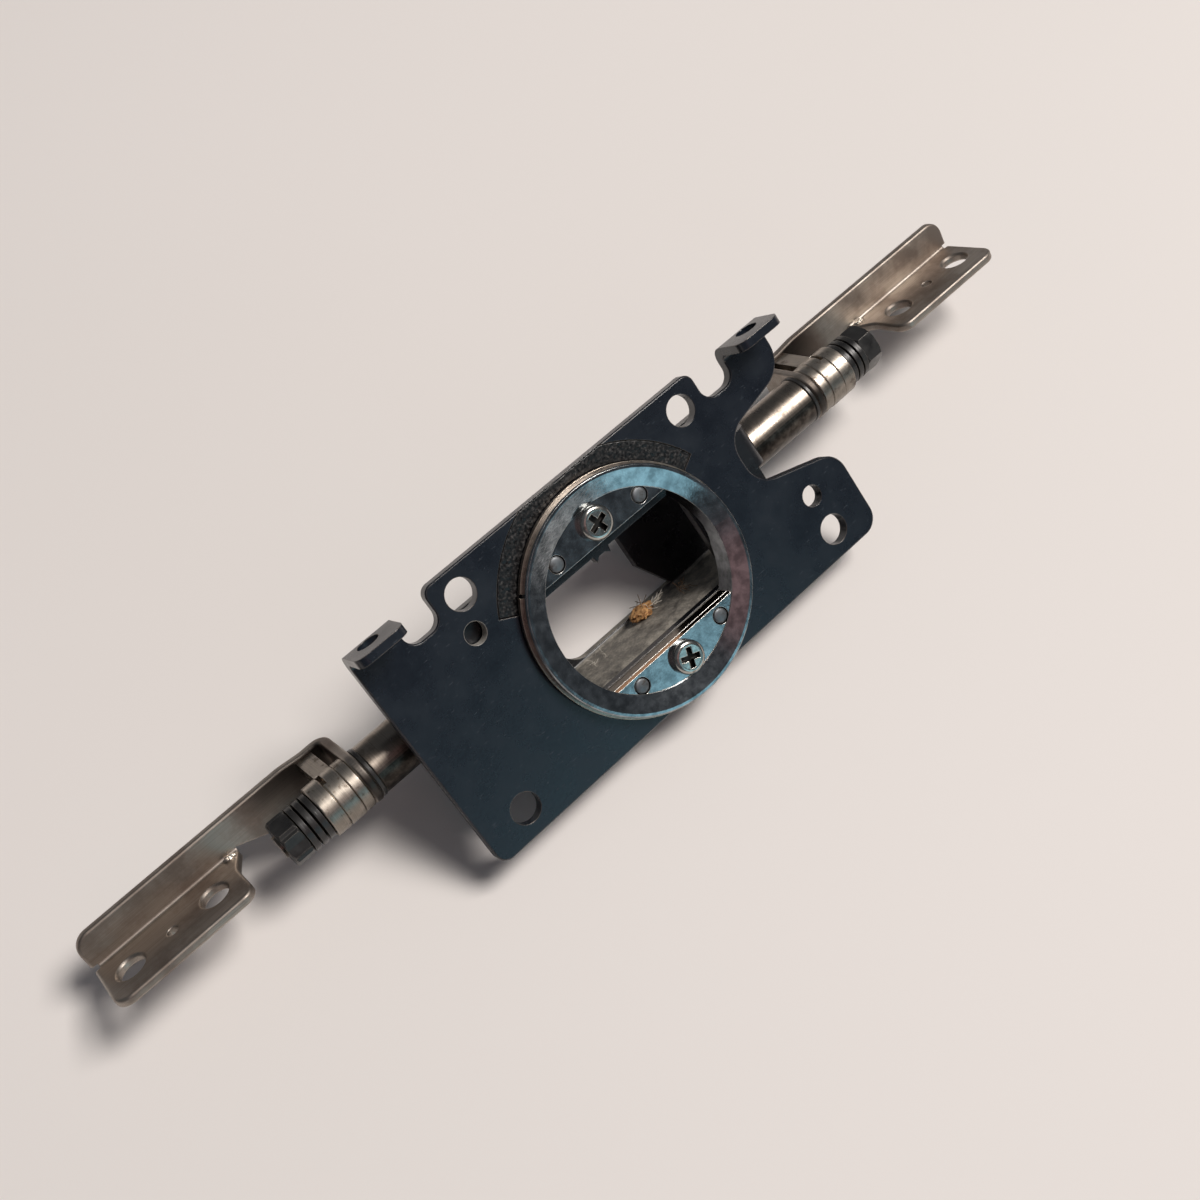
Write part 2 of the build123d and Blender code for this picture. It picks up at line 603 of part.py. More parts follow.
# Right shaft: rivet head, flattened tenon in the ear, barrel, flattened spindle, threaded end
with BuildPart() as shaft_right:
    with BuildSketch(on_shaft(YOKE_HALF - YOKE_T - RIVET_H)):
        Circle(RIVET_R)
    extrude(amount=RIVET_H)
    with BuildSketch(on_shaft(YOKE_HALF - YOKE_T)):
        double_d(SPINDLE_R, SPINDLE_FLAT)
    extrude(amount=YOKE_T)
    with BuildSketch(Plane(origin=(0, AXIS_Y, AXIS_Z), x_dir=(1, 0, 0), z_dir=(0, -1, 0))):
        with BuildLine():
            Polyline(
                (YOKE_HALF, 0),
                (YOKE_HALF, BARREL_R - BARREL_BREAK),
                (YOKE_HALF + BARREL_BREAK, BARREL_R),
                (BARREL_END - BARREL_STEP, BARREL_R),
                (BARREL_END, BARREL_R - BARREL_STEP),
                (BARREL_END, 0),
                close=True,
            )
        make_face()
    revolve(axis=Axis((0, AXIS_Y, AXIS_Z), (1, 0, 0)))
    with BuildSketch(on_shaft(BARREL_END)):
        double_d(SPINDLE_R, SPINDLE_FLAT)
    extrude(amount=SPRINGS_OUT - BARREL_END)
    with BuildSketch(on_shaft(SPRINGS_OUT)):
        Circle(THREAD_R - SLIP)
    extrude(amount=NUT_H + THREAD_PROUD)

# Right plain washer between barrel and arm
with BuildPart() as washer_right:
    with BuildSketch(on_shaft(BARREL_END)):
        Circle(WASHER_R)
    extrude(amount=WASHER_T)
    chamfer(washer_right.edges().filter_by(GeomType.CIRCLE), DISC_BREAK)
    with BuildSketch(on_shaft(BARREL_END)):
        double_d(SPINDLE_R + SLIP, SPINDLE_FLAT + SLIP)
    extrude(amount=WASHER_T, mode=Mode.SUBTRACT)

# Right arm about its own axis: eye, bend, wall, fold and flange from one strip
with BuildPart() as arm_right_flat:
    wall_bend_x = EYE_OUT + ARM_WALL_BEND
    wall_bend_q = ARM_WALL_Q + ARM_WALL_BEND
    fold_p = FLANGE_P + FLANGE_BEND
    fold_q = ARM_WALL_Q + FLANGE_BEND
    ramp_x = FLANGE_START - FLANGE_RAMP
    widen_from = wall_bend_x + WIDEN_START
    widen_to = widen_from + WIDEN_L
    with BuildSketch(Plane.YZ.offset(EYE_IN)):
        Circle(ARM_EYE_R)
        with Locations((0, wall_bend_q / 2)):
            Rectangle(2 * ARM_EYE_R, -wall_bend_q)
    extrude(amount=ARM_T)
    with BuildSketch(Plane(origin=(0, ARM_EYE_R, 0), x_dir=(1, 0, 0), z_dir=(0, -1, 0))):
        with BuildLine():
            CenterArc((wall_bend_x, wall_bend_q), ARM_WALL_BEND + ARM_T, 180, 90)
            Line((wall_bend_x, ARM_LOW_Q), (wall_bend_x, ARM_WALL_Q))
            CenterArc((wall_bend_x, wall_bend_q), ARM_WALL_BEND, 180, 90)
            Line((EYE_OUT, wall_bend_q), (EYE_IN, wall_bend_q))
        make_face()
    extrude(amount=2 * ARM_EYE_R)
    with BuildSketch(Plane.XY.offset(ARM_LOW_Q)) as wall_outline:
        with BuildLine():
            Polyline(
                (wall_bend_x, -ARM_EYE_R),
                (TAPER_START, -ARM_EYE_R),
                (ramp_x, fold_p),
                (ARM_END, fold_p),
                (ARM_END, ARM_EDGE_P),
                (widen_to, ARM_EDGE_P),
                (widen_from, ARM_EYE_R),
                (wall_bend_x, ARM_EYE_R),
                close=True,
            )
        make_face()
        round_corner(wall_outline, (ARM_END, ARM_EDGE_P), ARM_END_R)
        round_corner(wall_outline, (widen_to, ARM_EDGE_P), WIDEN_R)
        round_corner(wall_outline, (widen_from, ARM_EYE_R), WIDEN_R)
    extrude(amount=ARM_T)
    with BuildSketch(Plane.YZ.offset(ramp_x)):
        with BuildLine():
            CenterArc((fold_p, fold_q), FLANGE_BEND + ARM_T, 180, 90)
            Line((fold_p, ARM_LOW_Q), (fold_p, ARM_WALL_Q))
            CenterArc((fold_p, fold_q), FLANGE_BEND, 180, 90)
            Line((FLANGE_P, fold_q), (FLANGE_OUT_P, fold_q))
        make_face()
    extrude(amount=ARM_END - FLANGE_RELIEF - ramp_x)
    with BuildSketch(Plane(origin=(0, FLANGE_P, 0), x_dir=(1, 0, 0), z_dir=(0, -1, 0))) as flange_outline:
        with BuildLine():
            Polyline(
                (ramp_x, fold_q),
                (ARM_END, fold_q),
                (ARM_END, FLANGE_TOP_Q),
                (FLANGE_START, FLANGE_TOP_Q),
                (FLANGE_START, fold_q + FLANGE_RAMP_H),
                close=True,
            )
        make_face()
        round_corner(flange_outline, (ARM_END, FLANGE_TOP_Q), FLANGE_OUT_R)
        round_corner(flange_outline, (FLANGE_START, FLANGE_TOP_Q), FLANGE_IN_R)
        round_corner(flange_outline, (FLANGE_START, fold_q + FLANGE_RAMP_H), FLANGE_IN_R)
        with Locations((FLANGE_HOLE_1, FLANGE_HOLE_Q), (FLANGE_HOLE_2, FLANGE_HOLE_Q)):
            Circle(FLANGE_HOLE_R, mode=Mode.SUBTRACT)
        with Locations((SMALL_HOLE_X, FLANGE_HOLE_Q)):
            Circle(SMALL_HOLE_R, mode=Mode.SUBTRACT)
    extrude(amount=ARM_T)
    with BuildSketch(Plane.YZ.offset(EYE_IN)):
        Circle(SPINDLE_R + RUN)
    extrude(amount=ARM_T, mode=Mode.SUBTRACT)
    fillet([edge for edge in arm_right_flat.edges() if arm_rim(edge)], ARM_EDGE_R)
    chamfer([edge for edge in arm_right_flat.edges() if is_bore(edge, FLANGE_HOLE_R)], HOLE_BREAK)

with BuildPart() as arm_right:
    add(arm_right_flat.part.moved(LEAN))

# Right key disc with its leg, about the arm's own axis
with BuildPart() as key_right_flat:
    with BuildSketch(Plane.YZ.offset(FRICTION_OUT)):
        Circle(KEY_R)
    extrude(amount=KEY_T)
    chamfer(key_right_flat.edges().filter_by(GeomType.CIRCLE), DISC_BREAK)
    with BuildSketch(Plane.YZ.offset(FRICTION_OUT)):
        leg_low = ARM_WALL_Q + LEG_GAP
        with Locations(((KEY_LEG_IN + KEY_LEG_OUT) / 2, leg_low / 2)):
            Rectangle(KEY_LEG_OUT - KEY_LEG_IN, -leg_low)
        Circle(KEY_R - DISC_BREAK, mode=Mode.SUBTRACT)
    extrude(amount=KEY_T)
    with BuildSketch(Plane.YZ.offset(FRICTION_OUT)):
        Circle(SPINDLE_R + RUN)
    extrude(amount=KEY_T, mode=Mode.SUBTRACT)
    with Locations(Location((KEY_OUT, 0, 0), (CAM_CUT_TURN, 0, 0))):
        with Locations((0, KEY_R, 0)):
            Box(2 * CAM_CUT, 2 * CAM_CUT_DEEP, CAM_CUT_W, mode=Mode.SUBTRACT)

with BuildPart() as key_disc_right:
    add(key_right_flat.part.moved(LEAN))

# Right friction disc and cam disc, keyed to the spindle
with BuildPart() as friction_disc_right:
    with BuildSketch(on_shaft(EYE_OUT)):
        Circle(FRICTION_R)
    extrude(amount=FRICTION_T)
    chamfer(friction_disc_right.edges().filter_by(GeomType.CIRCLE), DISC_BREAK)
    with BuildSketch(on_shaft(EYE_OUT)):
        double_d(SPINDLE_R + SLIP, SPINDLE_FLAT + SLIP)
    extrude(amount=FRICTION_T, mode=Mode.SUBTRACT)

with BuildPart() as cam_disc_right:
    with BuildSketch(on_shaft(KEY_OUT)):
        Circle(CAM_R)
    extrude(amount=CAM_T)
    chamfer(cam_disc_right.edges().filter_by(GeomType.CIRCLE), DISC_BREAK)
    with BuildSketch(on_shaft(KEY_OUT)):
        double_d(SPINDLE_R + SLIP, SPINDLE_FLAT + SLIP)
    extrude(amount=CAM_T, mode=Mode.SUBTRACT)

# Right conical spring washers, in three facing pairs
with BuildPart() as springs_right:
    for i in range(SPRING_COUNT):
        near = CAM_OUT + i * CONE_PITCH
        at_bore = near + (CONE_RISE if i % 2 else 0)
        at_rim = near + (0 if i % 2 else CONE_RISE)
        with BuildSketch(Plane(origin=(0, AXIS_Y, AXIS_Z), x_dir=(1, 0, 0), z_dir=(0, -1, 0))):
            with BuildLine():
                Polyline(
                    (at_bore, SPINDLE_R + RUN),
                    (at_rim, CONE_R),
                    (at_rim + CONE_T, CONE_R),
                    (at_bore + CONE_T, SPINDLE_R + RUN),
                    close=True,
                )
            make_face()
        revolve(axis=Axis((0, AXIS_Y, AXIS_Z), (1, 0, 0)))

# Right hexagon nut with chamfered corners
with BuildPart() as nut_right:
    with BuildSketch(on_shaft(SPRINGS_OUT)):
        RegularPolygon(NUT_FLATS / 2, 6, major_radius=False, rotation=NUT_TURN)
    extrude(amount=NUT_H)
    corner_r = NUT_FLATS / sqrt(3)
    with BuildSketch(Plane(origin=(0, AXIS_Y, AXIS_Z), x_dir=(1, 0, 0), z_dir=(0, -1, 0))):
        with BuildLine():
            Polyline(
                (SPRINGS_OUT, 0),
                (SPRINGS_OUT, corner_r - NUT_BREAK * tan(radians(30))),
                (SPRINGS_OUT + NUT_BREAK, corner_r + RUN),
                (NUT_OUT - NUT_BREAK, corner_r + RUN),
                (NUT_OUT, corner_r - NUT_BREAK),
                (NUT_OUT, 0),
                close=True,
            )
        make_face()
    revolve(axis=Axis((0, AXIS_Y, AXIS_Z), (1, 0, 0)), mode=Mode.INTERSECT)
    with BuildSketch(on_shaft(SPRINGS_OUT)):
        Circle(THREAD_R)
    extrude(amount=NUT_H, mode=Mode.SUBTRACT)

# Left hinge, the mirror image of the right one
with BuildPart() as shaft_left:
    add(mirror(shaft_right.part, about=Plane.YZ))
with BuildPart() as washer_left:
    add(mirror(washer_right.part, about=Plane.YZ))
with BuildPart() as arm_left:
    add(mirror(arm_right.part, about=Plane.YZ))
with BuildPart() as key_disc_left:
    add(mirror(key_disc_right.part, about=Plane.YZ))
with BuildPart() as friction_disc_left:
    add(mirror(friction_disc_right.part, about=Plane.YZ))
with BuildPart() as cam_disc_left:
    add(mirror(cam_disc_right.part, about=Plane.YZ))
with BuildPart() as springs_left:
    add(mirror(springs_right.part, about=Plane.YZ))
with BuildPart() as nut_left:
    add(mirror(nut_right.part, about=Plane.YZ).rotate(Axis((0, AXIS_Y, AXIS_Z), (1, 0, 0)), NUT_LEFT_TURN))

os.makedirs("parts", exist_ok=True)
pieces = {
    "mounting_plate": mounting_plate,
    "swivel_ring": swivel_ring,
    "spring_washer": spring_washer,
    "thrust_washer_upper": thrust_washer_upper,
    "thrust_washer_lower": thrust_washer_lower,
    "hub_screws": hub_screws,
    "hub_pins": hub_pins,
    "yoke": yoke,
    "cable_guide": cable_guide,
    "shaft_right": shaft_right,
    "washer_right": washer_right,
    "arm_right": arm_right,
    "key_disc_right": key_disc_right,
    "friction_disc_right": friction_disc_right,
    "cam_disc_right": cam_disc_right,
    "springs_right": springs_right,
    "nut_right": nut_right,
    "shaft_left": shaft_left,
    "washer_left": washer_left,
    "arm_left": arm_left,
    "key_disc_left": key_disc_left,
    "friction_disc_left": friction_disc_left,
    "cam_disc_left": cam_disc_left,
    "springs_left": springs_left,
    "nut_left": nut_left,
}
for name, piece in pieces.items():
    piece.part.label = name
    export_step(piece.part, f"parts/{name}.step")
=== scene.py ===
# %% [markdown]
# A swivel-and-tilt hinge from a convertible laptop, lying on a pale table with its swivel ring upward.
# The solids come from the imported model, so every piece is already in its true place, in metres. This file
# gives the solids their finishes, adds the small soft things that a used hinge carries (grease, dust,
# fibres, a crumb), and sets the table, the light and the camera.

# %% Load the solids
import math
import random

import bmesh
import bpy
from mathutils import Matrix, Vector


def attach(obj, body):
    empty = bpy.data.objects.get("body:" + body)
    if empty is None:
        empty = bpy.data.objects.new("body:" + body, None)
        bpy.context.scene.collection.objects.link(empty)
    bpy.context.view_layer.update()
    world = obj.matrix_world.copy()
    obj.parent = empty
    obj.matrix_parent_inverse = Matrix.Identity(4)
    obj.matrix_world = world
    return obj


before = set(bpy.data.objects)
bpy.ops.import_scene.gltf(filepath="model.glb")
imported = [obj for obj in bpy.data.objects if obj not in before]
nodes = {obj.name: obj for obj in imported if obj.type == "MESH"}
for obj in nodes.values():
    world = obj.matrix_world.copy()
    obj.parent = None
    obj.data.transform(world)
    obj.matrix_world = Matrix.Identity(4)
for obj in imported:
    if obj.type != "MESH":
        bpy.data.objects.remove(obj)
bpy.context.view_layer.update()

MM = 0.001

# %% [markdown]
# Colours are written as sRGB hex values, as a colour picker shows them, and the renderer wants linear
# light. One function converts them. A second adds a shader node with its settings and links. The rest are
# the few nodes that come back again and again (sums, noise, a ramp from one value to another, blends and
# bump), so that each finish below reads as a list of what it is made from.


# %% Small helpers for finishes
def tint(code):
    channels = [int(code[i : i + 2], 16) / 255 for i in (1, 3, 5)]
    linear = [c / 12.92 if c <= 0.04045 else ((c + 0.055) / 1.055) ** 2.4 for c in channels]
    return (*linear, 1.0)


def add_node(tree, kind, inputs=None, **settings):
    made = tree.nodes.new(kind)
    for key, value in settings.items():
        setattr(made, key, value)
    for key, value in (inputs or {}).items():
        if isinstance(value, bpy.types.NodeSocket):
            tree.links.new(value, made.inputs[key])
        else:
            made.inputs[key].default_value = value
    return made


def maths(tree, operation, *values):
    return add_node(tree, "ShaderNodeMath", dict(enumerate(values)), operation=operation).outputs[0]


def dot(tree, first, second):
    pair = {0: first, 1: second}
    return add_node(tree, "ShaderNodeVectorMath", pair, operation="DOT_PRODUCT").outputs["Value"]


def noise(tree, place, scale, detail, roughness=0.5):
    wanted = {"Vector": place, "Scale": scale, "Detail": detail, "Roughness": roughness}
    return add_node(tree, "ShaderNodeTexNoise", wanted).outputs[0]


def ramp(tree, value, start, full, low=0.0, high=1.0, **settings):
    wanted = {0: value, "From Min": start, "From Max": full, "To Min": low, "To Max": high}
    return add_node(tree, "ShaderNodeMapRange", wanted, **settings).outputs[0]


def blend(tree, amount, first, second):
    return add_node(tree, "ShaderNodeMixRGB", {0: amount, 1: first, 2: second}).outputs[0]


def between(tree, amount, first, second):
    return add_node(tree, "ShaderNodeMix", {0: amount, 2: first, 3: second}).outputs[0]


def bump(tree, height, normal, strength, depth_mm, **settings):
    wanted = {"Height": height, "Normal": normal, "Strength": strength, "Distance": depth_mm * MM}
    return add_node(tree, "ShaderNodeBump", wanted, **settings).outputs[0]


# %% [markdown]
# The camera stands where the photographer's phone was: its place and turn were found from the holes, the
# ring and the arms. The phone was held turned well over to one side, so "up" on the table runs to the
# right in the picture.

# %% Camera
SENSOR_MM = 36.0
FRAME_PX = 1200
FOCAL_PX = 1539.34
CAMERA_AT = Vector((-59.0444, 58.0461, 162.4967)) * MM
VIEW = Vector((0.302829, -0.310411, -0.901077))
RIGHT = Vector((0.719663, -0.54536, 0.42973))
bpy.ops.object.select_all(action="DESELECT")
bpy.ops.object.camera_add()
camera = bpy.context.object
camera.data.sensor_width = SENSOR_MM
camera.data.lens = SENSOR_MM * FOCAL_PX / FRAME_PX
camera.data.clip_start = 0.01
up = RIGHT.cross(VIEW)
turn = Matrix((RIGHT, up, -VIEW)).transposed()
camera.matrix_world = Matrix.Translation(CAMERA_AT) @ turn.to_4x4()
bpy.context.scene.camera = camera
print("lens:", round(camera.data.lens, 2), "mm")

# %% [markdown]
# The table is a pale matt laminate. The hinge doesn't lie flat on it: the front edge of the plate is low
# and the tabs stand high, which the shadows beside the plate show, so in the hinge's own frame it is the
# table that is tilted. It lies just under the lowest point. Seen from underneath it lets the view
# through, so that it never hides the hinge.

# %% Table
TABLE_SIZE = 3.0
TABLE_TILT = math.radians(45)
TABLE_GAP = 0.30 * MM
DRIFT_MM = 160.0
away = Vector((0, math.sin(TABLE_TILT), math.cos(TABLE_TILT)))
lowest = min(away.dot(corner.co) for solid in nodes.values() for corner in solid.data.vertices)
bpy.ops.object.select_all(action="DESELECT")
table_at = away * (lowest - TABLE_GAP)
bpy.ops.mesh.primitive_plane_add(size=TABLE_SIZE, location=table_at, rotation=(-TABLE_TILT, 0, 0))
table = bpy.context.object
table.name = "table_top"
laminate = bpy.data.materials.new("matt_white_laminate")
laminate.use_nodes = True
tree = laminate.node_tree
top = tree.nodes["Principled BSDF"]
top.inputs["Roughness"].default_value = 0.7
top.inputs["Specular IOR Level"].default_value = 0.25
where = add_node(tree, "ShaderNodeTexCoord").outputs["Object"]
drift = noise(tree, where, 1 / (DRIFT_MM * MM), 1.0)
tone = blend(tree, drift, tint("#e7e2de"), tint("#eee8e5"))
tree.links.new(tone, top.inputs["Base Color"])
clear = add_node(tree, "ShaderNodeBsdfTransparent")
behind = add_node(tree, "ShaderNodeNewGeometry").outputs["Backfacing"]
one_sided = add_node(tree, "ShaderNodeMixShader", {0: behind, 1: top.outputs[0], 2: clear.outputs[0]})
tree.links.new(one_sided.outputs[0], tree.nodes["Material Output"].inputs["Surface"])
table.data.materials.append(laminate)
print("table under the lowest point by", TABLE_GAP / MM, "mm, tilt", round(math.degrees(TABLE_TILT), 1))

# %% [markdown]
# The room: one soft lamp makes nearly all the light and the short, fairly crisp shadows. A window low
# over the table gives the blue sheen on the flat black faces, and the rest of the room is dim, with a
# pinkish patch overhead. Each lamp is a panel whose brightness is given as radiance, so that it can be
# read against the table's own.


# %% Light
def panel(name, toward, distance, width, height, radiance, colour):
    aim = Vector(toward).normalized()
    bpy.ops.object.light_add(type="AREA", location=aim * distance)
    lamp = bpy.context.object
    lamp.name = name
    lamp.data.shape = "RECTANGLE"
    lamp.data.size = width
    lamp.data.size_y = height
    lamp.data.color = tint(colour)[:3]
    lamp.data.energy = math.pi * width * height * radiance
    lamp.rotation_euler = aim.to_track_quat("Z", "Y").to_euler()
    return lamp


panel("soft_lamp", (0.42, 0.45, 0.79), distance=1.6, width=0.58, height=0.58, radiance=23.5, colour="#fffaf5")
panel("window", (0.20, -0.55, 0.81), distance=0.9, width=0.40, height=0.31, radiance=1.3, colour="#a9e2f2")
PINK_TOWARD = Vector((-0.16, 0.02, 0.99)).normalized()
PINK_FROM, PINK_FULL = 0.93, 0.985
world = bpy.data.worlds.new("room")
bpy.context.scene.world = world
world.use_nodes = True
tree = world.node_tree
sky = tree.nodes["Background"]
toward = add_node(tree, "ShaderNodeTexCoord").outputs["Generated"]
near = dot(tree, toward, PINK_TOWARD)
patch = ramp(tree, near, PINK_FROM, PINK_FULL, interpolation_type="SMOOTHSTEP")
room = blend(tree, patch, tint("#55585c"), tint("#a58484"))
tree.links.new(room, sky.inputs["Color"])
bpy.context.scene.view_settings.view_transform = "Standard"

# %% [markdown]
# Every finish starts the same way: a new material, its shader, and the place of each point in
# millimetres, so that the size of a pattern can be written as a real size. The CAD edges are razor sharp,
# and real edges are rounded and catch light, so a rounded normal is worked out near each edge. Where it
# leans away from the face, the coat is worn thin: that gives a mask for bright edges.


# %% Starting a finish
def new_finish(name, metallic, roughness):
    made = bpy.data.materials.new(name)
    made.use_nodes = True
    tree = made.node_tree
    shader = tree.nodes["Principled BSDF"]
    shader.inputs["Metallic"].default_value = metallic
    shader.inputs["Roughness"].default_value = roughness
    where = add_node(tree, "ShaderNodeTexCoord").outputs["Object"]
    place = add_node(tree, "ShaderNodeVectorMath", {0: where, "Scale": 1 / MM}, operation="SCALE").outputs[0]
    return made, tree, shader, place


def rounded_edges(tree, radius_mm, thin_at=0.96, bare_at=0.80):
    rounded = add_node(tree, "ShaderNodeBevel", {"Radius": radius_mm * MM}, samples=6).outputs[0]
    flat = add_node(tree, "ShaderNodeNewGeometry").outputs["True Normal"]
    lean = dot(tree, rounded, flat)
    worn = ramp(tree, lean, thin_at, bare_at)
    return rounded, worn


def scratches(tree, place, turn_deg, length_mm, width_mm, rare):
    turn = (0, 0, math.radians(turn_deg))
    scale = (1 / length_mm, 1 / width_mm, 1 / width_mm)
    stretched = add_node(tree, "ShaderNodeMapping", {0: place, "Rotation": turn, "Scale": scale})
    grain = noise(tree, stretched.outputs[0], 1.0, 1.0)
    return ramp(tree, grain, rare, rare + 0.03)


# %% [markdown]
# The plate, the yoke and the guide are stamped steel with a black electrocoat, a thin baked paint. It is
# a dark satin with a blue cast, faintly uneven like orange peel, with small handling scratches, and it is
# rubbed through to steel along the edges. Paint is not a metal, so its colour comes from the base and its
# shine from a clear reflection.


# %% Black electrocoat
def electrocoat(name, dark, light, edge, wear):
    made, tree, shader, place = new_finish(name, 0.0, 0.34)
    shader.inputs["Specular IOR Level"].default_value = 0.62
    cloud = noise(tree, place, 1 / 7.0, 5.0, 0.65)
    peel = noise(tree, place, 1 / 0.45, 2.0)
    paint = blend(tree, cloud, tint(dark), tint(light))
    rub_a = scratches(tree, place, turn_deg=20, length_mm=1.6, width_mm=0.10, rare=0.74)
    rub_b = scratches(tree, place, turn_deg=-65, length_mm=1.1, width_mm=0.09, rare=0.74)
    rub = maths(tree, "MAXIMUM", rub_a, rub_b)
    fine = maths(tree, "MULTIPLY", rub, 0.30)
    scuffed = blend(tree, fine, paint, tint("#6b7480"))
    rounded, worn = rounded_edges(tree, 0.16)
    patchy = ramp(tree, cloud, 0.35, 0.65)
    some = maths(tree, "MULTIPLY", worn, patchy)
    bare = maths(tree, "MULTIPLY", some, wear)
    colour = blend(tree, bare, scuffed, tint(edge))
    gloss = ramp(tree, cloud, 0.3, 0.7, 0.20, 0.36)
    skin = bump(tree, peel, rounded, 0.12, 0.06)
    cut = bump(tree, rub, skin, 0.25, 0.03, invert=True)
    tree.links.new(colour, shader.inputs["Base Color"])
    tree.links.new(bare, shader.inputs["Metallic"])
    tree.links.new(gloss, shader.inputs["Roughness"])
    tree.links.new(cut, shader.inputs["Normal"])
    return made, tree, shader, place


plate_coat, plate_tree, plate_shader, plate_place = electrocoat(
    "black_electrocoat_plate", "#0a0e16", "#131a25", "#a89a8c", 0.85
)
yoke_coat = electrocoat("black_electrocoat_yoke", "#0d0f13", "#191b1f", "#7d756c", 0.6)[0]
print("coats:", plate_coat.name, yoke_coat.name)

# %% [markdown]
# The guide's wall is thick with grey-brown house dust: it lies where the cable used to rub, in the
# window, and it clings most to the wall that faces the tabs. The coat is the same, so the dust goes over
# it as a second, rough, pale layer with ragged borders.

# %% Dusty electrocoat of the guide
def cover_with(tree, shader, amount, colour, roughness):
    under = shader.inputs["Base Color"].links[0].from_socket
    mixed = blend(tree, amount, under, colour)
    tree.links.new(mixed, shader.inputs["Base Color"])
    shiny = shader.inputs["Roughness"].links[0].from_socket
    dull = between(tree, amount, shiny, roughness)
    tree.links.new(dull, shader.inputs["Roughness"])


def facing(tree, direction, start, full):
    normal = add_node(tree, "ShaderNodeNewGeometry").outputs["True Normal"]
    own = add_node(
        tree,
        "ShaderNodeVectorTransform",
        {0: normal},
        vector_type="NORMAL",
        convert_from="WORLD",
        convert_to="OBJECT",
    ).outputs[0]
    turned = dot(tree, own, direction)
    return ramp(tree, turned, start, full)


guide_coat, tree, shader, place = electrocoat("black_electrocoat_dusty", "#101114", "#1b1c1f", "#8a8178", 0.7)
on_wall = facing(tree, (0, 1, 0), 0.3, 0.8)
drift = noise(tree, place, 1 / 2.2, 8.0, 0.7)
ragged = ramp(tree, drift, 0.30, 0.58)
dust = maths(tree, "MULTIPLY", on_wall, ragged)
speck = noise(tree, place, 1 / 0.25, 3.0)
grey = blend(tree, speck, tint("#5a544d"), tint("#b5aea2"))
cover_with(tree, shader, dust, grey, 0.9)

# %% [markdown]
# The swivel ring is turned steel with a thin black oxide: dark, but still a metal, so it mirrors the
# window as a mottled blue. Its rim and the straight edges of its two segments are polished bright by
# wear, and the front segment's straight wall is copper-brown near its top.

# %% Black-oxide turned steel of the ring
CHORD_BEYOND = -5.0
COPPER_FROM, COPPER_FULL = -0.1, 0.35
WORN_ROUGHNESS = 0.42
ring_steel, tree, shader, place = new_finish("black_oxide_turned_steel", 1.0, 0.2)
blotch = noise(tree, place, 1 / 1.4, 7.0, 0.6)
pit = noise(tree, place, 1 / 0.3, 3.0)
tone = ramp(tree, blotch, 0.38, 0.62)
oxide = blend(tree, tone, tint("#767a7d"), tint("#a3a7aa"))
to_tabs = facing(tree, (0, 1, 0), 0.93, 0.98)
split = add_node(tree, "ShaderNodeSeparateXYZ", {0: place})
lower = maths(tree, "LESS_THAN", split.outputs[1], CHORD_BEYOND)
rising = ramp(tree, split.outputs[2], COPPER_FROM, COPPER_FULL)
band = blend(tree, rising, tint("#857c71"), tint("#c9976c"))
chord = maths(tree, "MULTIPLY", to_tabs, lower)
rusty = blend(tree, chord, oxide, band)
rounded, worn = rounded_edges(tree, 0.10, thin_at=0.97)
colour = blend(tree, worn, rusty, tint("#dcd6cd"))
gloss = ramp(tree, blotch, 0.3, 0.7, 0.11, 0.15)
dulled = between(tree, worn, gloss, WORN_ROUGHNESS)
skin = bump(tree, pit, rounded, 0.12, 0.04)
tree.links.new(colour, shader.inputs["Base Color"])
tree.links.new(dulled, shader.inputs["Roughness"])
tree.links.new(skin, shader.inputs["Normal"])


# %% [markdown]
# The bare steels differ in how they were made. Arms are cold-rolled strip, brownish with fine lines along
# their length. Barrels and discs are turned, so their lines run round the axis, and old grease leaves
# brown and black smears. One function lays out what they share: a steel tone, stains with soft borders,
# fine lines in one direction, and bright rolled edges.


# %% Bare steels
def bare_steel(name, steel, stain, edge, round_mm, roughness, lines_mm, stain_mm, stain_from):
    made, tree, shader, place = new_finish(name, 1.0, roughness)
    lines = add_node(tree, "ShaderNodeMapping", {0: place, "Scale": tuple(1 / v for v in lines_mm)})
    grain = noise(tree, lines.outputs[0], 1.0, 3.0)
    smear = noise(tree, place, 1 / stain_mm, 6.0, 0.62)
    dirty = ramp(tree, smear, stain_from, stain_from + 0.16)
    streak = ramp(tree, grain, 0.3, 0.7, 0.82, 1.12)
    scaled = {0: tint(steel)[:3], "Scale": streak}
    lined = add_node(tree, "ShaderNodeVectorMath", scaled, operation="SCALE").outputs[0]
    stained = blend(tree, dirty, lined, tint(stain))
    rounded, worn = rounded_edges(tree, round_mm)
    bright = maths(tree, "MULTIPLY", worn, 0.7)
    colour = blend(tree, bright, stained, tint(edge))
    rough = ramp(tree, smear, 0.3, 0.7, roughness - 0.05, roughness + 0.12)
    cut = bump(tree, grain, rounded, 0.10, 0.04)
    tree.links.new(colour, shader.inputs["Base Color"])
    tree.links.new(rough, shader.inputs["Roughness"])
    tree.links.new(cut, shader.inputs["Normal"])
    return made, tree, shader, place


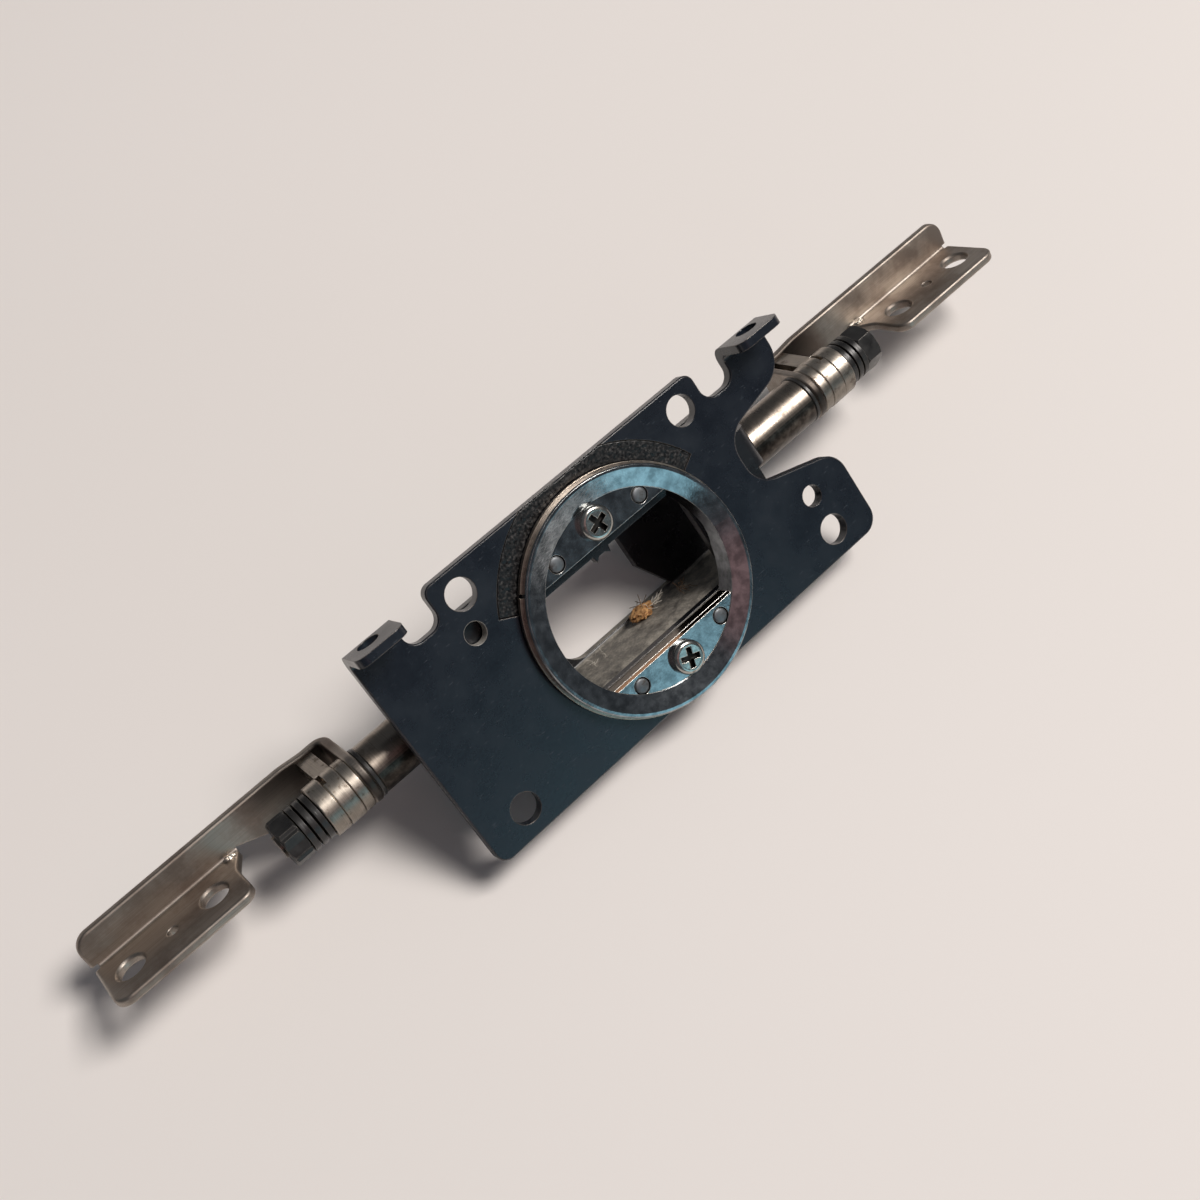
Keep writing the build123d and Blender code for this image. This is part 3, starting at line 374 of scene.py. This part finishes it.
arm_steel, arm_tree, arm_shader, arm_place = bare_steel(
    "cold_rolled_strip",
    steel="#a29990",
    stain="#877b72",
    edge="#e0d5c8",
    round_mm=0.26,
    roughness=0.42,
    lines_mm=(9.0, 0.12, 0.12),
    stain_mm=7.0,
    stain_from=0.46,
)
shaft_steel, shaft_tree, shaft_shader, shaft_place = bare_steel(
    "ground_shaft_steel",
    steel="#8f857b",
    stain="#5a5047",
    edge="#e2d6c6",
    round_mm=0.14,
    roughness=0.29,
    lines_mm=(0.10, 6.0, 6.0),
    stain_mm=2.6,
    stain_from=0.56,
)
disc_steel, disc_tree, disc_shader, disc_place = bare_steel(
    "turned_disc_steel",
    steel="#b0a79c",
    stain="#6f645a",
    edge="#f2eadf",
    round_mm=0.16,
    roughness=0.33,
    lines_mm=(0.09, 5.0, 5.0),
    stain_mm=1.1,
    stain_from=0.53,
)
spring_steel = bare_steel(
    "spring_washer_steel",
    steel="#a3968a",
    stain="#5d5248",
    edge="#e8dcc8",
    round_mm=0.1,
    roughness=0.27,
    lines_mm=(0.4, 0.4, 0.2),
    stain_mm=2.0,
    stain_from=0.56,
)[0]
nickel, nickel_tree, nickel_shader, nickel_place = bare_steel(
    "nickel_plated_screw",
    steel="#b4b2ac",
    stain="#6d6156",
    edge="#f2ece2",
    round_mm=0.14,
    roughness=0.17,
    lines_mm=(0.5, 0.5, 0.5),
    stain_mm=0.9,
    stain_from=0.58,
)
pin_steel = bare_steel(
    "dull_dowel_steel",
    steel="#74777a",
    stain="#55524f",
    edge="#a5a29d",
    round_mm=0.1,
    roughness=0.46,
    lines_mm=(0.5, 0.5, 0.5),
    stain_mm=0.8,
    stain_from=0.55,
)[0]

# %% [markdown]
# Painted shade: the underside of the barrels and, more thinly, of the discs is darkened where they mirror dim
# surroundings, and the upper face of each arm's wall is darkened near the eye, in the shade of the nut stack.
# It is laid over the steel as a dark film whose border is broken up by noise.

# %% Painted shade on the steels
UNDERSIDE = (0, -0.945, 0.326)
ARM_WALL = (0, -0.219, 0.976)
ARM_SHADE_OUTER, ARM_SHADE_INNER = 52.5, 42.0
ARM_SHADE_SHARE = 0.88
# Painted shade: faces turned towards the underside of the barrels and discs are darkened like a dark
# reflection.
for tree, shader, place, most in (
    (shaft_tree, shaft_shader, shaft_place, 0.92),
    (disc_tree, disc_shader, disc_place, 0.45),
):
    under_side = facing(tree, UNDERSIDE, 0.10, 0.40)
    patchy = noise(tree, place, 1 / 0.9, 5.0)
    thin = ramp(tree, patchy, 0.3, 0.6, 0.7, 1.0)
    oil_film_and_shade = maths(tree, "MULTIPLY", under_side, thin)
    painted_shade_share = maths(tree, "MULTIPLY", oil_film_and_shade, most)
    cover_with(tree, shader, painted_shade_share, tint("#211d1b"), 0.36)
# Painted shade: the upward face of each arm's wall is darkened near the eye, beside the nut stack.
across = add_node(arm_tree, "ShaderNodeSeparateXYZ", {0: arm_place}).outputs[0]
outward = maths(arm_tree, "ABSOLUTE", across)
near_eye = ramp(arm_tree, outward, ARM_SHADE_OUTER, ARM_SHADE_INNER, interpolation_type="SMOOTHSTEP")
on_wall = facing(arm_tree, ARM_WALL, 0.4, 0.8)
arm_shade = maths(arm_tree, "MULTIPLY", near_eye, on_wall)
painted_shade_share = maths(arm_tree, "MULTIPLY", arm_shade, ARM_SHADE_SHARE)
cover_with(arm_tree, arm_shader, painted_shade_share, tint("#2b2826"), 0.4)

# %% [markdown]
# Painted shade darkens the cross recess of the two hub screws. It is every point of a screw that is near
# its axis and below the top of its head.

# %% Painted shade in the screw recesses
SCREW_Y = 10.1
RECESS_R = 1.36
RECESS_TOP = 2.28
RECESS_SHADE_SHARE = 0.93
split = add_node(nickel_tree, "ShaderNodeSeparateXYZ", {0: nickel_place})
beside = maths(nickel_tree, "ABSOLUTE", split.outputs[1])
off_y = maths(nickel_tree, "SUBTRACT", beside, SCREW_Y)
off_axis = add_node(nickel_tree, "ShaderNodeCombineXYZ", {0: split.outputs[0], 1: off_y}).outputs[0]
reach = add_node(nickel_tree, "ShaderNodeVectorMath", {0: off_axis}, operation="LENGTH").outputs["Value"]
near_axis = maths(nickel_tree, "LESS_THAN", reach, RECESS_R)
sunk = maths(nickel_tree, "LESS_THAN", split.outputs[2], RECESS_TOP)
inside = maths(nickel_tree, "MULTIPLY", near_axis, sunk)
# Painted shade: the recess is darkened to a near-black brown.
painted_shade_share = maths(nickel_tree, "MULTIPLY", inside, RECESS_SHADE_SHARE)
cover_with(nickel_tree, nickel_shader, painted_shade_share, tint("#191614"), 0.5)

# %% [markdown]
# Nuts, spring washers and the plain washers are black-oxide steel, oiled: nearly black, satin, with
# greyer corners. The thrust washers round the neck are phosphated, which is blacker and quite matt.


# %% Black small parts
def blackened(name, black, grey, edge, roughness):
    made, tree, shader, place = new_finish(name, 0.6, roughness)
    oil_film_and_shade = noise(tree, place, 1 / 1.2, 5.0)
    grit = noise(tree, place, 1 / 0.2, 2.0)
    oiled = blend(tree, oil_film_and_shade, tint(black), tint(grey))
    rounded, worn = rounded_edges(tree, 0.12)
    some = maths(tree, "MULTIPLY", worn, oil_film_and_shade)
    colour = blend(tree, some, oiled, tint(edge))
    rough = ramp(tree, oil_film_and_shade, 0.3, 0.7, roughness - 0.06, roughness + 0.1)
    skin = bump(tree, grit, rounded, 0.2, 0.04)
    tree.links.new(colour, shader.inputs["Base Color"])
    tree.links.new(rough, shader.inputs["Roughness"])
    tree.links.new(skin, shader.inputs["Normal"])
    return made


oiled_black = blackened("oiled_black_oxide", "#242425", "#454443", "#a0988c", 0.33)
phosphate = blackened("black_phosphate", "#161617", "#232323", "#55524e", 0.55)

# %% [markdown]
# One locating hole of the plate was opened up after painting, so its wall is bare, rough and bright. A
# distance from the axis of the hole picks out that wall and nothing else.

# %% Bare wall of the opened hole
OPENED_HOLE = (-18.85, 8.8, 0.0)
HOLE_R = 1.45
BARE_R = 1.42
pair = {0: plate_place, 1: (1, 1, 0)}
flat_on = add_node(plate_tree, "ShaderNodeVectorMath", pair, operation="MULTIPLY").outputs[0]
pair = {0: flat_on, 1: OPENED_HOLE}
reach = add_node(plate_tree, "ShaderNodeVectorMath", pair, operation="DISTANCE").outputs["Value"]
wall = ramp(plate_tree, reach, HOLE_R, BARE_R)
rough = noise(plate_tree, plate_place, 1 / 0.18, 3.0)
bare = blend(plate_tree, rough, tint("#4d4843"), tint("#d2cdc5"))
cover_with(plate_tree, plate_shader, wall, bare, 0.35)

# %% [markdown]
# Each solid gets the finish of what it is made from. The two hinges are alike, so one loop serves both
# sides.

# %% Finishes on the solids
by_node = {
    "mounting_plate": plate_coat,
    "swivel_ring": ring_steel,
    "spring_washer": spring_steel,
    "thrust_washer_upper": phosphate,
    "thrust_washer_lower": phosphate,
    "hub_screws": nickel,
    "hub_pins": pin_steel,
    "yoke": yoke_coat,
    "cable_guide": guide_coat,
}
for side in ("left", "right"):
    by_node[f"shaft_{side}"] = shaft_steel
    by_node[f"washer_{side}"] = oiled_black
    by_node[f"arm_{side}"] = arm_steel
    by_node[f"key_disc_{side}"] = disc_steel
    by_node[f"friction_disc_{side}"] = disc_steel
    by_node[f"cam_disc_{side}"] = disc_steel
    by_node[f"springs_{side}"] = oiled_black
    by_node[f"nut_{side}"] = oiled_black
for name, coat in by_node.items():
    nodes[name].data.materials.clear()
    nodes[name].data.materials.append(coat)
print("finished solids:", len(by_node))

# %% [markdown]
# The dowel pins were set with a rounded punch, so each shows as a small dark button. A dome starts as a
# ball on the flat end of a pin; the half inside the pin is cut away and the rest is pressed to a shallow
# cap. The four caps are one piece that turns with the ring.

# %% Domed ends of the dowel pins
PIN_X, PIN_Y, PIN_TOP = 6.65, 9.15, 1.10
DOME_R = 0.88
DOME_H = 0.15
caps = []
for x in (-PIN_X, PIN_X):
    for y in (-PIN_Y, PIN_Y):
        seat = Vector((x, y, PIN_TOP)) * MM
        bpy.ops.object.select_all(action="DESELECT")
        bpy.ops.mesh.primitive_uv_sphere_add(segments=40, ring_count=24, radius=DOME_R * MM, location=seat)
        bpy.ops.object.transform_apply(location=True)
        bpy.ops.object.mode_set(mode="EDIT")
        bpy.ops.mesh.select_all(action="SELECT")
        bpy.ops.mesh.bisect(plane_co=seat, plane_no=(0, 0, 1), clear_inner=True, use_fill=True)
        bpy.ops.mesh.select_all(action="SELECT")
        bpy.ops.transform.resize(value=(1, 1, DOME_H / DOME_R), center_override=seat)
        bpy.ops.mesh.normals_make_consistent(inside=False)
        bpy.ops.object.mode_set(mode="OBJECT")
        caps.append(bpy.context.object)
for cap in caps:
    cap.select_set(True)
bpy.ops.object.join()
domes = bpy.context.object
domes.name = "pin_domes"
bpy.ops.object.shade_smooth_by_angle(angle=math.radians(40))
domes.data.materials.append(pin_steel)
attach(domes, "rotor")
print("domes:", [round(v / MM, 2) for v in domes.dimensions], "mm")

# %% [markdown]
# The coined arc beside the ring is packed with old grease and grit. It is a strip with a lumpy top, so it
# starts as one radial edge, cut into short lengths, spun round the swivel axis, roughened by two noise
# textures, and closed underneath. The arc runs off the rear edge of the plate, so the strip is cut off
# straight there. It stays with the plate when the ring turns.

# %% Grease in the arc pocket
POCKET_IN, POCKET_OUT = 15.25, 17.68
POCKET_FROM, POCKET_TO = 29.0, 152.0
GREASE_TOP = -0.13
GREASE_THICK = 0.10
REAR_EDGE = 16.5
bpy.ops.object.select_all(action="DESELECT")
width = (POCKET_OUT - POCKET_IN) * MM
middle = (POCKET_OUT + POCKET_IN) / 2 * MM
bpy.ops.mesh.primitive_plane_add(size=width, location=(middle, width / 2, GREASE_TOP * MM))
grease = bpy.context.object
grease.name = "pocket_grease"
bpy.ops.object.transform_apply(location=True)
bpy.ops.object.mode_set(mode="EDIT")
draft = bmesh.from_edit_mesh(grease.data)
for corner in draft.verts:
    corner.select = corner.co.y > width / 2
draft.select_flush_mode()
bmesh.update_edit_mesh(grease.data)
bpy.ops.mesh.delete(type="VERT")
bpy.ops.mesh.select_all(action="SELECT")
bpy.ops.mesh.subdivide(number_cuts=15)
bpy.ops.mesh.select_all(action="SELECT")
bpy.ops.mesh.spin(steps=240, angle=math.radians(POCKET_TO - POCKET_FROM), center=(0, 0, 0), axis=(0, 0, 1))
bpy.ops.object.mode_set(mode="OBJECT")
spun_back = min(v.co.y for v in grease.data.vertices) < -MM
grease.rotation_euler.z = math.radians(POCKET_TO if spun_back else POCKET_FROM)
bpy.ops.object.transform_apply(rotation=True)
for name, kind, size, height in (("lumps", "CLOUDS", 0.55, 0.14), ("grit", "VORONOI", 0.22, 0.07)):
    texture = bpy.data.textures.new(f"grease_{name}", kind)
    texture.noise_scale = size * MM
    push = grease.modifiers.new(name, "DISPLACE")
    push.texture = texture
    push.texture_coords = "LOCAL"
    push.direction = "Z"
    push.mid_level = 0.5
    push.strength = height * MM
    bpy.ops.object.modifier_apply(modifier=name)
bpy.ops.object.mode_set(mode="EDIT")
bpy.ops.mesh.select_all(action="SELECT")
bpy.ops.mesh.bisect(plane_co=(0, REAR_EDGE * MM, 0), plane_no=(0, 1, 0), clear_outer=True)
bpy.ops.object.mode_set(mode="OBJECT")
shell = grease.modifiers.new("underside", "SOLIDIFY")
shell.thickness = GREASE_THICK * MM
shell.offset = -1.0
bpy.ops.object.modifier_apply(modifier="underside")
bpy.ops.object.mode_set(mode="EDIT")
bpy.ops.mesh.select_all(action="SELECT")
bpy.ops.mesh.normals_make_consistent(inside=False)
bpy.ops.object.mode_set(mode="OBJECT")
bpy.ops.object.shade_smooth()
angles = [math.degrees(math.atan2(v.co.y, v.co.x)) for v in grease.data.vertices]
heights = [v.co.z / MM for v in grease.data.vertices]
print("grease:", round(min(angles), 1), round(max(angles), 1), "deg")
print("grease:", round(min(heights), 3), round(max(heights), 3), "mm")

old_grease, tree, shader, place = new_finish("gritty_old_grease", 0.0, 0.4)
grain = noise(tree, place, 1 / 0.33, 4.0)
mix = ramp(tree, grain, 0.56, 0.76)
colour = blend(tree, mix, tint("#060607"), tint("#4a4644"))
wet = ramp(tree, grain, 0.3, 0.7, 0.22, 0.6)
tree.links.new(colour, shader.inputs["Base Color"])
tree.links.new(wet, shader.inputs["Roughness"])
grease.data.materials.append(old_grease)
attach(grease, "base")

# %% [markdown]
# A crumb of orange-brown foam hangs on the dusty wall of the guide, inside the window. It starts as a
# ball, is pressed flat against the wall, and gets its ragged shape from two noise textures, a coarse one
# for lobes and a fine one for the broken skin. It turns with the yoke.


# %% Lumps made from a roughened ball
def lump(name, at_mm, half_mm, coarse, fine, seed):
    bpy.ops.object.select_all(action="DESELECT")
    bpy.ops.mesh.primitive_ico_sphere_add(subdivisions=5, radius=MM)
    made = bpy.context.object
    made.name = name
    bpy.ops.object.mode_set(mode="EDIT")
    bpy.ops.mesh.select_all(action="SELECT")
    bpy.ops.transform.translate(value=(7 * seed * MM, 0, 0))
    bpy.ops.object.mode_set(mode="OBJECT")
    for label, size, depth in (("lobes", coarse, 0.9), ("skin", fine, 0.28)):
        texture = bpy.data.textures.new(f"{name}_{label}", "CLOUDS")
        texture.noise_scale = size * MM
        push = made.modifiers.new(label, "DISPLACE")
        push.texture = texture
        push.texture_coords = "LOCAL"
        push.strength = depth * MM
        bpy.ops.object.modifier_apply(modifier=label)
    bpy.ops.object.mode_set(mode="EDIT")
    bpy.ops.transform.translate(value=(-7 * seed * MM, 0, 0))
    bpy.ops.transform.resize(value=half_mm, center_override=(0, 0, 0))
    bpy.ops.transform.translate(value=Vector(at_mm) * MM)
    bpy.ops.object.mode_set(mode="OBJECT")
    bpy.ops.object.shade_smooth()
    return made


crumb = lump("foam_crumb", at_mm=(3.0, -6.8, -11.4), half_mm=(1.75, 0.8, 1.35), coarse=0.7, fine=0.18, seed=1)
foam, tree, shader, place = new_finish("orange_foam", 0.0, 0.85)
cell = noise(tree, place, 1 / 0.5, 5.0)
warm = ramp(tree, cell, 0.35, 0.65)
colour = blend(tree, warm, tint("#7d5631"), tint("#c99a66"))
tree.links.new(colour, shader.inputs["Base Color"])
shader.inputs["Subsurface Weight"].default_value = 0.15
shader.inputs["Subsurface Radius"].default_value = (0.5 * MM, 0.3 * MM, 0.15 * MM)
crumb.data.materials.append(foam)
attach(crumb, "rotor")
print("crumb:", [round(v / MM, 2) for v in crumb.dimensions], "mm")

# %% [markdown]
# Lint is a handful of hair-fine fibres. Each fibre is a path curve with a round bevel; its points wander
# a little at every step, from a fixed seed, so the tuft is the same each time. The fibres of one tuft are
# joined and turned into a mesh.


# %% Tufts of lint
def tuft(name, body, seed, count, root_mm, spread_mm, along_mm, length_mm, thick_mm, coat):
    dice = random.Random(seed)
    fibres = []
    for _ in range(count):
        bpy.ops.object.select_all(action="DESELECT")
        bpy.ops.curve.primitive_nurbs_path_add()
        path = bpy.context.object
        spot = Vector(root_mm) + Vector([dice.uniform(-s, s) for s in spread_mm])
        step = Vector(along_mm) + Vector([dice.uniform(-0.8, 0.8) for _ in range(3)])
        for point in path.data.splines[0].points:
            point.co = (*(spot * MM), 1.0)
            step = step + Vector([dice.uniform(-0.7, 0.7) for _ in range(3)])
            spot = spot + step.normalized() * length_mm / 4 * dice.uniform(0.6, 1.2)
        path.data.bevel_depth = thick_mm * MM
        path.data.bevel_resolution = 1
        path.data.splines[0].resolution_u = 6
        fibres.append(path)
    for path in fibres:
        path.select_set(True)
    bpy.context.view_layer.objects.active = fibres[0]
    bpy.ops.object.join()
    bpy.ops.object.convert(target="MESH")
    made = bpy.context.object
    made.name = name
    bpy.ops.object.transform_apply(location=True, rotation=True, scale=True)
    made.data.materials.clear()
    made.data.materials.append(coat)
    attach(made, body)
    return made


def fibre(name, dark, light):
    made, tree, shader, place = new_finish(name, 0.0, 0.7)
    strand = noise(tree, place, 1 / 0.3, 2.0)
    colour = blend(tree, strand, tint(dark), tint(light))
    tree.links.new(colour, shader.inputs["Base Color"])
    return made


pale_lint = fibre("pale_lint", "#a39a8c", "#eae4d8")
brown_lint = fibre("brown_lint", "#3f3022", "#8d7358")
tufts = [
    tuft(
        "crumb_fibres",
        "rotor",
        seed=5,
        count=16,
        root_mm=(4.3, -6.7, -11.0),
        spread_mm=(0.9, 0.3, 0.6),
        along_mm=(0.9, 0.3, 0.7),
        length_mm=2.2,
        thick_mm=0.045,
        coat=pale_lint,
    ),
    tuft(
        "crumb_hairs",
        "rotor",
        seed=8,
        count=9,
        root_mm=(3.2, -6.6, -12.4),
        spread_mm=(1.1, 0.2, 0.3),
        along_mm=(0.2, 0.2, -1.0),
        length_mm=2.0,
        thick_mm=0.05,
        coat=brown_lint,
    ),
    tuft(
        "wall_lint_right",
        "rotor",
        seed=13,
        count=14,
        root_mm=(8.6, -6.9, -8.6),
        spread_mm=(0.9, 0.3, 0.5),
        along_mm=(0.6, 0.4, 0.3),
        length_mm=1.6,
        thick_mm=0.04,
        coat=brown_lint,
    ),
    tuft(
        "wall_lint_left",
        "rotor",
        seed=21,
        count=9,
        root_mm=(-5.6, -7.1, -10.2),
        spread_mm=(1.2, 0.2, 0.5),
        along_mm=(-0.6, 0.1, 0.4),
        length_mm=1.3,
        thick_mm=0.022,
        coat=pale_lint,
    ),
]
print("tufts:", [made.name for made in tufts])

# %% [markdown]
# Where the flange of each arm was folded up, the end of the fold is torn and shows a small bright burr.
# It is a roughened ball too, drawn out along the fold, and it tilts with its arm.

# %% Burrs on the arms
torn = bare_steel(
    "torn_bright_steel",
    steel="#d8d0c4",
    stain="#a89a8a",
    edge="#f6f0e6",
    round_mm=0.1,
    roughness=0.25,
    lines_mm=(0.6, 0.2, 0.2),
    stain_mm=0.6,
    stain_from=0.6,
)[0]
for side, sign in (("left", -1), ("right", 1)):
    at = (sign * 54.6, 2.75, -15.2)
    burr = lump(f"fold_burr_{side}", at_mm=at, half_mm=(0.85, 0.32, 0.4), coarse=0.6, fine=0.16, seed=sign)
    burr.data.materials.append(torn)
    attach(burr, f"lean_{side}")
    print(burr.name, [round(v / MM, 2) for v in burr.dimensions], "mm")
